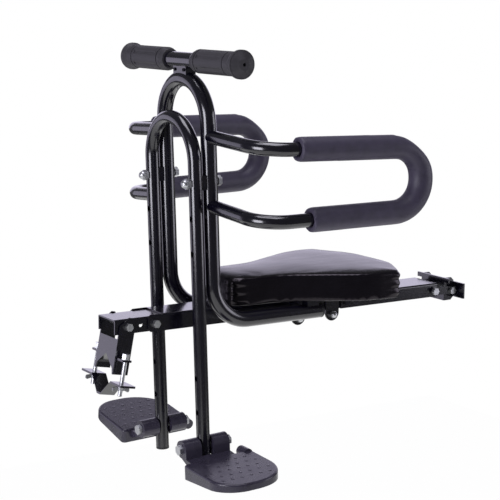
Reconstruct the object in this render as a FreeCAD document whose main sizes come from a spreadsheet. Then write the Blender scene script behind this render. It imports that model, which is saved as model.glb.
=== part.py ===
import FreeCAD, Part

import math
import os
import re

import Sketcher

Vector = FreeCAD.Vector

# Driving dimensions in millimetres and degrees
sizes = {
    # The origin is the seat post's axis, halfway up its clamp
    "post_to_hoop": 461,
    "post_drop": 17,
    "lean": 2.27,
    # Fits
    "bore_gap": 0.05,
    "sheet_gap": 0.2,
    "swing_gap": 0.4,
    "cut_past": 1,
    # Main hoop
    "hoop_tube": 22.2,
    "hoop_wall": 1.5,
    "hoop_spacing": 118,
    "hoop_height": 323,
    "run_drop": 14.5,
    "run_bend": 58,
    "run_tail": 5,
    "plug_depth": 12,
    "plug_lip": 3,
    # Leg hoop
    "leg_tube": 19,
    "leg_wall": 1.5,
    "leg_gap": 2.4,
    "leg_height": 271,
    "leg_drop": 219,
    "hole_pitch": 49,
    "bolt_height": 185,
    "pedal_rise": 32,
    "spacer_width": 15,
    "spacer_height": 20,
    # Bolts and nuts
    "bolt_dia": 6,
    "bolt_flats": 10,
    "head_height": 4.4,
    "nut_height": 5.2,
    "stout_dia": 8,
    "stout_flats": 13,
    "stout_head": 5.5,
    "stout_nut": 6.5,
    "crown_inset": 0.5,
    "screw_dia": 5,
    "screw_head": 10,
    "screw_head_height": 3,
    # Handlebar and grips
    "bar_tube": 22.2,
    "bar_wall": 1.6,
    "bar_gap": 2.8,
    "bar_length": 288,
    "saddle_width": 34,
    "saddle_depth": 16,
    "saddle_screw_at": 12,
    "saddle_screw_dia": 3,
    "saddle_screw_head": 4.6,
    "saddle_screw_crown": 1.6,
    "saddle_screw_depth": 5,
    "grip_inner": 36,
    "grip_dia": 33,
    "grip_nose": 28,
    "nose_length": 8,
    "groove_at": 14,
    "groove_width": 1.8,
    "groove_depth": 1,
    "flange_dia": 38.8,
    "flange_length": 5,
    "flare_length": 7,
    "cap_length": 6,
    "cap_inset": 1.5,
    "cap_dia": 16,
    "vent_dia": 5,
    "flute_dia": 16,
    "flute_depth": 0.9,
    "flute_end": 20,
    # Armrests
    "arm_tube": 19,
    "arm_wall": 1.5,
    "arm_reach": 187,
    "arm_splay": 16,
    "arm_front": -3.6,
    "arm_rear": 245.5,
    "arm_bend": 45,
    "loop_flat": 1,
    "weld_top": 247,
    "weld_low": 151.5,
    "arm_top_front": 239,
    "arm_top_rear": 234.5,
    "arm_low_front": 142,
    "arm_low_rear": 146,
    "foam_dia": 34,
    "foam_gap": 0.1,
    "foam_top_start": 46,
    "foam_low_start": 66,
    # Main rail and front slider
    "rail_width": 53,
    "rail_depth": 24,
    "rail_sheet": 2,
    "rail_front": 61.6,
    "rail_rear": 262,
    "ear_reach": 24.4,
    "ear_chamfer": 5,
    "fold_radius": 3,
    "slider_front": 136.7,
    "slider_rear": 20,
    "slider_depth": 20.8,
    "slider_sheet": 2,
    "stop_reach": 74,
    "spare_reach": 96,
    "pivot_reach": 117,
    "side_hole_drop": 13,
    # Rear channel
    "channel_sheet": 2.3,
    "channel_start": 242,
    "channel_end": 428,
    "channel_top": 3.5,
    "channel_depth": 21,
    "joint_reach": 251,
    # Rail clamps, screws and seat
    "front_clamp_at": 165,
    "rear_clamp_at": 226,
    "clamp_length": 24,
    "clamp_sheet": 2.6,
    "clamp_drop": 41,
    "pinch_drop": 31,
    "run_plate_half": 68,
    "seat_plate_half": 50,
    "lug_length": 20,
    "lug_width": 14,
    "seat_screw_at": 42,
    "seat_front": 38,
    "nose_half": 50,
    "waist_at": 125,
    "waist_half": 57,
    "hip_at": 232,
    "hip_half": 111,
    "back_at": 284,
    "back_half": 48,
    "seat_rear": 321,
    "nose_round": 20,
    "sway_round": 90,
    "back_round": 40,
    "rear_round": 60,
    "cushion_height": 46,
    "crown_round": 12,
    "board_lip": 9,
    "board_sheet": 6,
    "board_gap": 0.3,
    "pilot_floor": 1,
    "pocket_gap": 1,
    # Front clamp, measured from its pivot along its own lean
    "bracket_lean": 10.7,
    "bracket_sheet": 2,
    "bracket_gap": 0.3,
    "bracket_front": 13,
    "bracket_rear": 11,
    "bracket_top": 13,
    "bracket_drop": 67,
    "web_drop": 18.5,
    "notch_peak": 42,
    "notch_foot": 59,
    "jaw_half": 9,
    "jaw_sheet": 3,
    "vee_sheet": 3.6,
    "ear_drop": 43,
    "ear_sheet": 3,
    "ear_half": 7,
    "ear_end": 45,
    "stud_span": 80,
    "stud_front": 3.8,
    "stud_head": 8,
    "stud_drop": 94,
    "flange_drop": 76,
    "flange_inner": 28,
    "flange_outer": 58,
    "jaw_front": 15,
    "jaw_rear": 8,
    "valley_half": 6,
    "valley_drop": 97,
    "wing_hub": 11,
    "hub_taper": 1,
    "wing_height": 6.5,
    "wing_span": 26,
    "wing_rise": 6,
    "wing_sheet": 2.4,
    "tip_round": 2.4,
    # Rear clamp
    "link_sheet": 3,
    "link_width": 12,
    "link_at": 420,
    "link_drop": 15,
    "hinge_at": 455,
    "hinge_head": 1.1,
    "web_at": 443,
    "web_sheet": 3,
    "wing_half": 38,
    "wing_top": 3,
    "wing_low": 4,
    "rear_ear_inner": 25.7,
    "rear_ear_end": 462,
    "rear_ear_drop": 33,
    "post_dia": 27.2,
    "post_fit": 0.1,
    "strap_sheet": 3,
    "strap_at": 465,
    "strap_half": 48,
    "strap_height": 24,
    "strap_bolt_at": 21,
    "strap_bolt_dia": 6,
    "strap_flats": 10,
    "pad_half": 15,
    # Pedals, measured from the pivot
    "barrel_dia": 25.5,
    "barrel_end": 36,
    "pedal_front": 49.4,
    "pedal_rear": 61.6,
    "pedal_inner": 26.8,
    "pedal_outer": 136,
    "pedal_top": 11.6,
    "pedal_dip": 4,
    "pedal_thick": 20.6,
    "pedal_thin": 10.5,
    "front_round": 40,
    "rear_corner": 58,
    "inner_round": 6,
    "pedal_edge": 3,
    "web_overlap": 8,
    "stub_dia": 15,
    "stub_at": 54,
    "stub_drop": 15.5,
    "stub_inner": 12,
    "stub_outer": 32,
    "pedal_raise": 10,
}

doc = FreeCAD.newDocument("child_bike_seat")
sheet = doc.addObject("Spreadsheet::Sheet", "Sizes")
for row, (alias, number) in enumerate(sizes.items(), 1):
    sheet.set(f"A{row}", alias)
    sheet.set(f"B{row}", str(number))
    sheet.setAlias(f"B{row}", alias)
doc.recompute()

nodes = []
sides = {"left": -1, "right": 1}
flute_count = 6
word = re.compile(r"[a-z]+(?:_[a-z]+)*")
turns = {
    "x": FreeCAD.Rotation(Vector(0, 1, 0), 90),
    "-x": FreeCAD.Rotation(Vector(0, 1, 0), -90),
    "y": FreeCAD.Rotation(Vector(1, 0, 0), -90),
    "-y": FreeCAD.Rotation(Vector(1, 0, 0), 90),
    "z": FreeCAD.Rotation(),
    "-z": FreeCAD.Rotation(Vector(1, 0, 0), 180),
}


# Formulas are written with the sheet's own words
def ref(text):
    def named(found):
        return "Sizes." + found.group() if found.group() in sizes else found.group()

    return word.sub(named, str(text))


def value(text):
    return float(sheet.evalExpression(ref(text)))


def bind(thing, **formulas):
    for name, text in formulas.items():
        thing.setExpression(name.replace("__", "."), ref(text))
    return thing


def put(thing, x, y, z):
    return bind(thing, Placement__Base__x=x, Placement__Base__y=y, Placement__Base__z=z)


def span(side, inner, outer):
    return (inner, outer) if side > 0 else (f"-({outer})", f"-({inner})")


# Solids
def box(x, y, z):
    block = doc.addObject("Part::Box", "Block")
    bind(block, Length=f"({x[1]})-({x[0]})", Width=f"({y[1]})-({y[0]})", Height=f"({z[1]})-({z[0]})")
    return put(block, x[0], y[0], z[0])


def along(kind, axis, start, **formulas):
    solid = doc.addObject(kind, "Round")
    solid.Placement.Rotation = turns[axis]
    bind(solid, **formulas)
    return put(solid, *start)


def rod(axis, start, radius, length):
    return along("Part::Cylinder", axis, start, Radius=radius, Height=length)


def cone(axis, start, radius, end_radius, length):
    return along("Part::Cone", axis, start, Radius1=radius, Radius2=end_radius, Height=length)


def hexagon(axis, start, flats, height):
    prism = along("Part::Prism", axis, start, Circumradius=f"({flats})/sqrt(3)", Height=height)
    prism.Polygon = 6
    return prism


def dome(axis, start, radius):
    ball = along("Part::Sphere", axis, start, Radius=radius)
    ball.Angle1 = 0
    return ball


def join(*pieces):
    union = doc.addObject("Part::MultiFuse", "Union")
    union.Shapes = list(pieces)
    return union


def cut(base, *tools):
    rest = doc.addObject("Part::Cut", "Rest")
    rest.Base = base
    rest.Tool = tools[0] if len(tools) == 1 else join(*tools)
    return rest


def group(*pieces):
    several = doc.addObject("Part::Compound", "Group")
    several.Links = list(pieces)
    return several


# A plate is a straight-sided outline padded square to one of its body's planes
def plate(plane, corners, start, length):
    body = doc.addObject("PartDesign::Body", "Plate")
    outline = body.newObject("Sketcher::SketchObject", "Outline")
    base = next(part for part in body.Origin.OriginFeatures if part.Role == plane)
    outline.AttachmentSupport = (base, [""])
    outline.MapMode = "FlatFace"
    bind(outline, AttachmentOffset__Base__z=start)
    spots = [Vector(value(u), value(v), 0) for u, v in corners]
    for number, spot in enumerate(spots):
        outline.addGeometry(Part.LineSegment(spot, spots[(number + 1) % len(spots)]))
    for number in range(len(spots)):
        outline.addConstraint(Sketcher.Constraint("Coincident", number, 2, (number + 1) % len(spots), 1))
    for number, corner in enumerate(corners):
        for kind, text in zip(("DistanceX", "DistanceY"), corner):
            index = outline.addConstraint(Sketcher.Constraint(kind, number, 1, value(text)))
            outline.setExpression(f"Constraints[{index}]", ref(text))
    pad = body.newObject("PartDesign::Pad", "Pad")
    pad.Profile = outline
    bind(pad, Length=length)
    doc.recompute()
    return body


# Rounds the edges of a body that chosen() accepts
def soften(body, radius, chosen):
    before = body.Tip
    names = [f"Edge{number}" for number, edge in enumerate(before.Shape.Edges, 1) if chosen(edge)]
    rounding = body.newObject("PartDesign::Fillet", "Rounding")
    rounding.Base = (before, names)
    bind(rounding, Radius=radius)
    body.Tip = rounding
    doc.recompute()
    return body


def upright_at(spots):
    def chosen(edge):
        ends = [vertex.Point for vertex in edge.Vertexes]
        if len(ends) != 2 or ends[0].sub(Vector(ends[1].x, ends[1].y, ends[0].z)).Length > 0.001:
            return False
        return any(math.hypot(ends[0].x - x, ends[0].y - y) < 0.01 for x, y in spots)

    return chosen


def at_height(level):
    return lambda edge: all(abs(vertex.Z - level) < 0.001 for vertex in edge.Vertexes)


def lengthwise_at(spots):
    def chosen(edge):
        ends = [vertex.Point for vertex in edge.Vertexes]
        if len(ends) != 2 or math.hypot(ends[0].y - ends[1].y, ends[0].z - ends[1].z) > 0.001:
            return False
        return any(math.hypot(ends[0].y - y, ends[0].z - z) < 0.01 for y, z in spots)

    return chosen


# A bent tube's centreline: straight runs with tangent arcs at the inner points
def bent_path(points, bends):
    spots = [Vector(*point) for point in points]
    edges = []
    here = spots[0]
    for corner, after, bend in zip(spots[1:], spots[2:], bends):
        back = (here - corner).normalize()
        ahead = (after - corner).normalize()
        half = back.getAngle(ahead) / 2
        reach = bend / math.tan(half)
        centre = corner + (back + ahead).normalize() * (bend / math.sin(half))
        start = corner + back * reach
        middle = centre + (corner - centre).normalize() * bend
        end = corner + ahead * reach
        if (start - here).Length > 0.001:
            edges.append(Part.LineSegment(here, start).toShape())
        edges.append(Part.Arc(start, middle, end).toShape())
        here = end
    edges.append(Part.LineSegment(here, spots[-1]).toShape())
    path = doc.addObject("Part::Feature", "Path")
    path.Shape = Part.Wire(edges)
    return path


def swept(path, radius):
    first = path.Shape.Edges[0]
    heading = first.tangentAt(first.FirstParameter)
    ring = doc.addObject("Part::Circle", "Section")
    ring.Placement = FreeCAD.Placement(first.valueAt(first.FirstParameter),
                                       FreeCAD.Rotation(Vector(0, 0, 1), heading))
    bind(ring, Radius=radius)
    sweep = doc.addObject("Part::Sweep", "Bar")
    sweep.Sections = [ring]
    sweep.Spine = (path, [f"Edge{number}" for number in range(1, len(path.Shape.Edges) + 1)])
    sweep.Solid = True
    sweep.Frenet = False
    return sweep


# A folded channel, open below: its section is an upside-down U across the width
def channel(half, top, depth, sheet_thick, start, length):
    inner = f"({half})-({sheet_thick})"
    section = [
        (f"-({half})", f"({top})-({depth})"),
        (f"-({half})", top),
        (half, top),
        (half, f"({top})-({depth})"),
        (inner, f"({top})-({depth})"),
        (inner, f"({top})-({sheet_thick})"),
        (f"-({inner})", f"({top})-({sheet_thick})"),
        (f"-({inner})", f"({top})-({depth})"),
    ]
    body = plate("YZ_Plane", section, start, length)
    level = value(top)
    return soften(body, "fold_radius", lengthwise_at([(value(half), level), (-value(half), level)]))


# Fasteners along an axis, from the face that they seat on
def hex_bolt(axis, seat, length, dia="bolt_dia", flats="bolt_flats", head="head_height"):
    back = axis[1:] if axis[0] == "-" else "-" + axis
    return join(rod(axis, seat, f"{dia}/2", length), hexagon(back, seat, flats, head))


def dome_nut(axis, seat, flats="bolt_flats", dia="bolt_dia", height="nut_height"):
    hexed = hexagon(axis, seat, flats, height)
    step = 1 if axis[0] != "-" else -1
    crown = list(seat)
    place = "xyz".index(axis[-1])
    crown[place] = f"({crown[place]})+{step}*{height}"
    bored = rod(axis, seat, f"{dia}/2", height)
    return cut(join(hexed, dome(axis, crown, f"{flats}/2-crown_inset")), bored)


def plain_nut(axis, seat, flats="bolt_flats", dia="bolt_dia", height="nut_height"):
    return cut(hexagon(axis, seat, flats, height), rod(axis, seat, f"{dia}/2", height))


# Names a sub-part and stands it level with the rail, leaned with the hoop, or on the clamp's pivot
def node(piece, label, frame="rail"):
    piece.Label = label
    nodes.append(piece)
    piece.Placement.Rotation = FreeCAD.Rotation(Vector(0, 1, 0), 1)
    angles = {"rail": "0", "hoop": "-lean", "clamp": "bracket_lean"}
    forward = "pivot_reach" if frame == "clamp" else "0"
    lower = "side_hole_drop" if frame == "clamp" else "0"
    bind(piece, Placement__Rotation__Angle=angles[frame])
    put(piece, f"-post_to_hoop-({forward})", 0, f"post_drop-({lower})")
    return piece


# A level point as the leaned hoop sees it
def hoop_point(x, y, z):
    tilt = math.radians(value("lean"))
    return (x * math.cos(tilt) + z * math.sin(tilt), y, z * math.cos(tilt) - x * math.sin(tilt))


leg_at = "-(hoop_tube/2+leg_gap+leg_tube/2)"
bar_at = "(hoop_height+hoop_tube/2+bar_gap+bar_tube/2)"
run_end = "(front_clamp_at+lug_length/2+run_tail)"
pedal_at = "(pedal_rise-leg_drop)"
bolt_bore = "bolt_dia/2+bore_gap"
stout = ("stout_dia", "stout_flats", "stout_head")
stout_bore = "stout_dia/2+bore_gap"


def main_hoop():
    half = value("hoop_spacing/2")
    low = -value("run_drop")
    knee = -low * math.tan(math.radians(value("lean")))
    foot = [hoop_point(value(run_end), half, low), hoop_point(knee, half, low)]
    arch = [(0, half, value("hoop_height")), (0, -half, value("hoop_height"))]
    mirrored = [(x, -y, z) for x, y, z in reversed(foot)]
    bends = [value("run_bend"), half, half, value("run_bend")]
    path = bent_path(foot + arch + mirrored, bends)
    outer = swept(path, "hoop_tube/2")
    bore = swept(path, "hoop_tube/2-hoop_wall")
    holes = [rod("x", ("-hoop_tube", f"{side}*hoop_spacing/2", "bolt_height"), stout_bore, "2*hoop_tube")
             for side in sides.values()]
    node(cut(outer, bore, *holes), "main_hoop", "hoop")
    for label, side in sides.items():
        centre = (f"{side}*hoop_spacing/2", "-run_drop")
        plug = join(rod("-x", (run_end, *centre), "hoop_tube/2-hoop_wall", "plug_depth"),
                    rod("x", (run_end, *centre), "hoop_tube/2", "plug_lip"))
        node(plug, f"{label}_run_plug")
    return outer


def leg_hoop():
    x = value(leg_at)
    half = value("hoop_spacing/2")
    top = value("leg_height")
    points = [(x, half, -value("leg_drop")), (x, half, top), (x, -half, top), (x, -half, -value("leg_drop"))]
    path = bent_path(points, [half, half])
    outer = swept(path, "leg_tube/2")
    bore = swept(path, "leg_tube/2-leg_wall")
    heights = [f"bolt_height-{step}*hole_pitch" for step in range(3)]
    heights += [f"{pedal_at}+{step}*hole_pitch" for step in range(3)]
    holes = [rod("x", (f"{leg_at}-leg_tube", f"{side}*hoop_spacing/2", height), stout_bore, "2*leg_tube")
             for side in sides.values() for height in heights]
    node(cut(outer, bore, *holes), "leg_hoop", "hoop")
    for label, side in sides.items():
        end = (leg_at, f"{side}*hoop_spacing/2", "-leg_drop")
        cap = join(rod("z", end, "leg_tube/2-leg_wall", "plug_depth"),
                   rod("-z", end, "leg_tube/2", "plug_lip"))
        node(cap, f"{label}_leg_cap", "hoop")


def hoop_fasteners():
    bolts = []
    nuts = []
    spacers = []
    front = f"{leg_at}-leg_tube/2"
    for side in sides.values():
        y = f"{side}*hoop_spacing/2"
        seat = ("hoop_tube/2", y, "bolt_height")
        bolts.append(hex_bolt("-x", seat, f"hoop_tube/2-({front})+stout_nut", *stout))
        nuts.append(dome_nut("-x", (front, y, "bolt_height"), "stout_flats", "stout_dia", "stout_nut"))
        across = (f"{y}-spacer_width/2", f"{y}+spacer_width/2")
        tall = ("bolt_height-spacer_height/2", "bolt_height+spacer_height/2")
        block = box(("-hoop_tube/2-leg_gap-leg_tube/4", "-hoop_tube/4"), across, tall)
        foot = ("bolt_height-spacer_height",)
        spacers.append(cut(block,
                           rod("z", ("0", y, *foot), "hoop_tube/2", "2*spacer_height"),
                           rod("z", (leg_at, y, *foot), "leg_tube/2", "2*spacer_height"),
                           rod("x", ("-hoop_tube*2", y, "bolt_height"), stout_bore, "hoop_tube*3")))
    node(group(*bolts), "hoop_bolts", "hoop")
    node(group(*nuts), "hoop_dome_nuts", "hoop")
    node(group(*spacers), "hoop_spacers", "hoop")


def handlebar():
    start = ("0", "-bar_length/2", bar_at)
    bar = cut(rod("y", start, "bar_tube/2", "bar_length"),
              rod("y", start, "bar_tube/2-bar_wall", "bar_length"))
    node(bar, "handlebar", "hoop")
    block = box(("-saddle_depth/2", "saddle_depth/2"), ("-saddle_width/2", "saddle_width/2"),
                ("hoop_height", bar_at))
    arch = doc.addObject("Part::Torus", "Arch")
    arch.Placement.Rotation = turns["x"]
    bind(arch, Radius1="hoop_spacing/2", Radius2="hoop_tube/2")
    put(arch, 0, 0, "hoop_height-hoop_spacing/2")
    holes = []
    screws = []
    for side in sides.values():
        seat = ("-saddle_depth/2", f"{side}*saddle_screw_at", f"(hoop_height+{bar_at})/2")
        holes.append(rod("x", seat, "saddle_screw_dia/2", "saddle_screw_depth"))
        screws.append(join(rod("x", seat, "saddle_screw_dia/2", "saddle_screw_depth"),
                           rod("-x", seat, "saddle_screw_head/2", "saddle_screw_crown")))
    seated = cut(block, arch, rod("y", start, "bar_tube/2", "bar_length"), *holes)
    node(seated, "handlebar_saddle", "hoop")
    node(group(*screws), "saddle_screws", "hoop")


# A soft grip tapers in at its inner end and flares to a flange with a domed cap
def grip(label, side):
    out = "y" if side > 0 else "-y"

    def at(distance):
        return ("0", f"{side}*({distance})", bar_at)

    flare = "(bar_length/2-flare_length)"
    shell = join(
        cone(out, at("grip_inner"), "grip_nose/2", "grip_dia/2", "nose_length"),
        rod(out, at("grip_inner+nose_length"), "grip_dia/2", f"{flare}-grip_inner-nose_length"),
        cone(out, at(flare), "grip_dia/2", "flange_dia/2", "flare_length"),
        rod(out, at("bar_length/2"), "flange_dia/2", "flange_length"),
        cone(out, at("bar_length/2+flange_length"), "flange_dia/2-cap_inset", "cap_dia/2", "cap_length"))
    marks = []
    for place in ("grip_inner+groove_at", f"{flare}-groove_at"):
        marks.append(cut(rod(out, at(place), "grip_dia", "groove_width"),
                         rod(out, at(place), "grip_dia/2-groove_depth", "groove_width")))
    reach = "(grip_dia/2+flute_dia/2-flute_depth)"
    for turn in range(flute_count):
        angle = 2 * math.pi * (turn + 0.5) / flute_count
        start = (f"{math.cos(angle):.4f}*{reach}", f"{side}*(grip_inner+flute_end)",
                 f"{bar_at}+{math.sin(angle):.4f}*{reach}")
        marks.append(rod(out, start, "flute_dia/2", f"{flare}-grip_inner-2*flute_end"))
    bore = rod(out, at("grip_inner"), "bar_tube/2", "bar_length/2-grip_inner")
    vent = rod(out, at("bar_length/2"), "vent_dia/2", "flange_length+cap_length")
    node(cut(shell, bore, vent, *marks), f"{label}_grip", "hoop")


def armrest(label, side, hoop):
    half = side * value("hoop_spacing/2")
    front = (value("arm_front"), side * value("arm_reach"))
    rear = (value("arm_rear"), side * value("arm_reach+arm_splay"))
    top = [value("arm_top_front"), value("arm_top_rear")]
    low = [value("arm_low_front"), value("arm_low_rear")]
    loop = (top[1] - low[1] - value("loop_flat")) / 2
    points = [(0, half, value("weld_top")), hoop_point(*front, top[0]), hoop_point(*rear, top[1]),
              hoop_point(*rear, low[1]), hoop_point(*front, low[0]), (0, half, value("weld_low"))]
    path = bent_path(points, [value("arm_bend"), loop, loop, value("arm_bend")])
    outer = swept(path, "arm_tube/2")
    bore = swept(path, "arm_tube/2-arm_wall")
    node(cut(outer, bore, hoop), f"{label}_armrest", "hoop")
    starts = []
    for begin, level in ((value("foam_top_start"), top), (value("foam_low_start"), low)):
        share = (begin - front[0]) / (rear[0] - front[0])
        out = front[1] + share * (rear[1] - front[1])
        starts.append(hoop_point(begin, out, level[0] + share * (level[1] - level[0])))
    sleeve = bent_path([starts[0], points[2], points[3], starts[1]], [loop, loop])
    foam = cut(swept(sleeve, "foam_dia/2"), swept(sleeve, "arm_tube/2+foam_gap"))
    node(foam, f"{label}_foam", "hoop")


def main_rail():
    half = "rail_width/2"
    front = "-rail_front-ear_reach"
    body = channel(half, "0", "rail_depth", "rail_sheet", front, f"rail_rear-({front})")
    before = f"{front}-cut_past"
    behind = f"{front}+ear_chamfer"
    notch = box((before, "-rail_front"), (f"-{half}+rail_sheet", f"{half}-rail_sheet"),
                ("-rail_depth", "cut_past"))
    corner = [(before, "-rail_depth-cut_past"), (behind, "-rail_depth-cut_past"),
              (before, "-rail_depth+ear_chamfer")]
    chamfer = plate("XZ_Plane", corner, f"-{half}-cut_past", "rail_width+2*cut_past")
    top_corner = [(before, "cut_past"), (before, "-ear_chamfer"), (behind, "cut_past")]
    top_chamfer = plate("XZ_Plane", top_corner, f"-{half}-cut_past", "rail_width+2*cut_past")
    tools = [notch, chamfer, top_chamfer]
    for reach in ("-stop_reach", "joint_reach"):
        tools.append(cross_hole(reach, "-side_hole_drop"))
    node(cut(body, *tools), "main_rail")


def cross_hole(x, z):
    return rod("y", (x, "-rail_width", z), bolt_bore, "2*rail_width")


slider_half = "rail_width/2-rail_sheet-sheet_gap"


def front_slider():
    top = "-rail_sheet-sheet_gap"
    body = channel(slider_half, top, "slider_depth", "slider_sheet", "-slider_front",
                   "slider_front+slider_rear")
    holes = [cross_hole(f"-{reach}", "-side_hole_drop")
             for reach in ("stop_reach", "spare_reach", "pivot_reach")]
    node(cut(body, *holes), "front_slider")
    through(("-stop_reach", "-side_hole_drop"), "rail_width/2", "slider")


# A bolt across the width with its head on the far side and a nut on the near side
def through(spot, half, name):
    far = (spot[0], half, spot[1])
    near = (spot[0], f"-({half})", spot[1])
    node(hex_bolt("-y", far, f"2*({half})+nut_height"), f"{name}_bolt")
    node(plain_nut("-y", near), f"{name}_nut")


channel_half = "rail_width/2+sheet_gap+channel_sheet"


def rear_channel():
    body = channel(channel_half, "-channel_top", "channel_depth", "channel_sheet", "channel_start",
                   "channel_end-channel_start")
    inner = f"{channel_half}-channel_sheet"
    opening = box(("channel_start-cut_past", "rail_rear+sheet_gap"), (f"-({inner})", inner),
                  ("-channel_top-channel_depth", "cut_past"))
    holes = [cross_hole("joint_reach", "-side_hole_drop"), cross_hole("link_at", "-link_drop")]
    node(cut(body, opening, *holes), "rear_channel")
    through(("joint_reach", "-side_hole_drop"), channel_half, "channel")


clamp_inner = "rail_width/2+sheet_gap"


# A strap down both sides of the rail under a cross plate, pinched by a bolt below the rail
def rail_clamps():
    bolts = []
    nuts = []
    outer = f"{clamp_inner}+clamp_sheet"
    places = {"front": ("front_clamp_at", "run_plate_half"), "rear": ("rear_clamp_at", "seat_plate_half")}
    for label, (middle, half) in places.items():
        lengthwise = (f"{middle}-clamp_length/2", f"{middle}+clamp_length/2")
        pieces = [box(lengthwise, (f"-{half}", half), ("0", "clamp_sheet"))]
        for side in sides.values():
            wall = span(side, clamp_inner, outer)
            pieces.append(box(lengthwise, wall, ("-clamp_drop+clamp_length/2", "0")))
            pieces.append(rod("y", (middle, wall[0], "-clamp_drop+clamp_length/2"), "clamp_length/2",
                              "clamp_sheet"))
        screws_at = ["seat_screw_at", "hoop_spacing/2"] if label == "front" else ["seat_screw_at"]
        holes = [cross_hole(middle, "-pinch_drop")]
        holes += [rod("z", (middle, f"{side}*{out}", "-cut_past"), "screw_dia/2+bore_gap",
                      "clamp_sheet+2*cut_past") for side in sides.values() for out in screws_at]
        node(cut(join(*pieces), *holes), f"{label}_rail_clamp")
        bolts.append(hex_bolt("-y", (middle, outer, "-pinch_drop"), f"2*({outer})+nut_height"))
        nuts.append(dome_nut("-y", (middle, f"-({outer})", "-pinch_drop")))
    node(group(*bolts), "pinch_bolts")
    node(group(*nuts), "pinch_dome_nuts")


# Blocks welded on the hoop's feet carry the front clamp's cross plate
def run_lugs():
    lugs = []
    screws = []
    for side in sides.values():
        y = f"{side}*hoop_spacing/2"
        block = box(("front_clamp_at-lug_length/2", "front_clamp_at+lug_length/2"),
                    (f"{y}-lug_width/2", f"{y}+lug_width/2"), ("-run_drop", "0"))
        tube = rod("x", ("0", y, "-run_drop"), "hoop_tube/2", run_end)
        hole = rod("z", ("front_clamp_at", y, "-run_drop+hoop_tube/2"), "screw_dia/2", "run_drop")
        lugs.append(cut(block, tube, hole))
        seat = ("front_clamp_at", y, "clamp_sheet")
        screws.append(join(rod("-z", seat, "screw_dia/2", "clamp_sheet+run_drop-hoop_tube/2"),
                           rod("z", seat, "screw_head/2", "screw_head_height")))
    node(group(*lugs), "run_lugs")
    node(group(*screws), "run_screws")


# The seat's plan, drawn in from its edge by an inset: narrow nose, waist, broad hip and round back
def seat_slab(inset, start, height):
    far_side = [("seat_front", "nose_half"), ("waist_at", "waist_half"), ("hip_at", "hip_half"),
                ("back_at", "hip_half"), ("seat_rear", "back_half")]
    inward = [(1, -1), (0, -1), (0, -1), (-1, -1), (-1, 0)]
    drawn = [(f"{x}+({dx})*({inset})", f"{y}+({dy})*({inset})")
             for (x, y), (dx, dy) in zip(far_side, inward)]
    corners = drawn + [(x, f"-({y})") for x, y in reversed(drawn)]
    body = plate("XY_Plane", corners, start, height)
    rounds = {"nose_round": (0,), "sway_round": (1, 2), "back_round": (3,), "rear_round": (4,)}
    for radius, places in rounds.items():
        spots = []
        for place in places:
            x, y = (value(text) for text in drawn[place])
            spots += [(x, y), (x, -y)]
        soften(body, f"{radius}-({inset})", upright_at(spots))
    return body


def seat():
    cushion = seat_slab("0", "clamp_sheet", "cushion_height")
    soften(cushion, "crown_round", at_height(value("clamp_sheet+cushion_height")))
    recess = seat_slab("board_lip-board_gap", "clamp_sheet-cut_past", "board_sheet+board_gap+cut_past")
    board = seat_slab("board_lip", "clamp_sheet", "board_sheet")
    pilots = []
    screws = []
    for middle in ("front_clamp_at", "rear_clamp_at"):
        for side in sides.values():
            spot = (middle, f"{side}*seat_screw_at")
            pilots.append(rod("z", (*spot, "clamp_sheet"), "screw_dia/2", "board_sheet-pilot_floor"))
            screws.append(join(rod("z", (*spot, "0"), "screw_dia/2", "clamp_sheet+board_sheet-pilot_floor"),
                               rod("-z", (*spot, "0"), "screw_head/2", "screw_head_height")))
    pockets = [rod("z", ("front_clamp_at", f"{side}*hoop_spacing/2", "clamp_sheet-cut_past"),
                   "screw_head/2+pocket_gap", "screw_head_height+pocket_gap+cut_past")
               for side in sides.values()]
    node(cut(cushion, recess, *pockets), "seat_cushion")
    node(cut(board, *pilots, *pockets), "seat_board")
    node(group(*screws), "seat_screws")


bracket_inner = f"{slider_half}+bracket_gap"
bracket_outer = f"{bracket_inner}+bracket_sheet"


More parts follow.
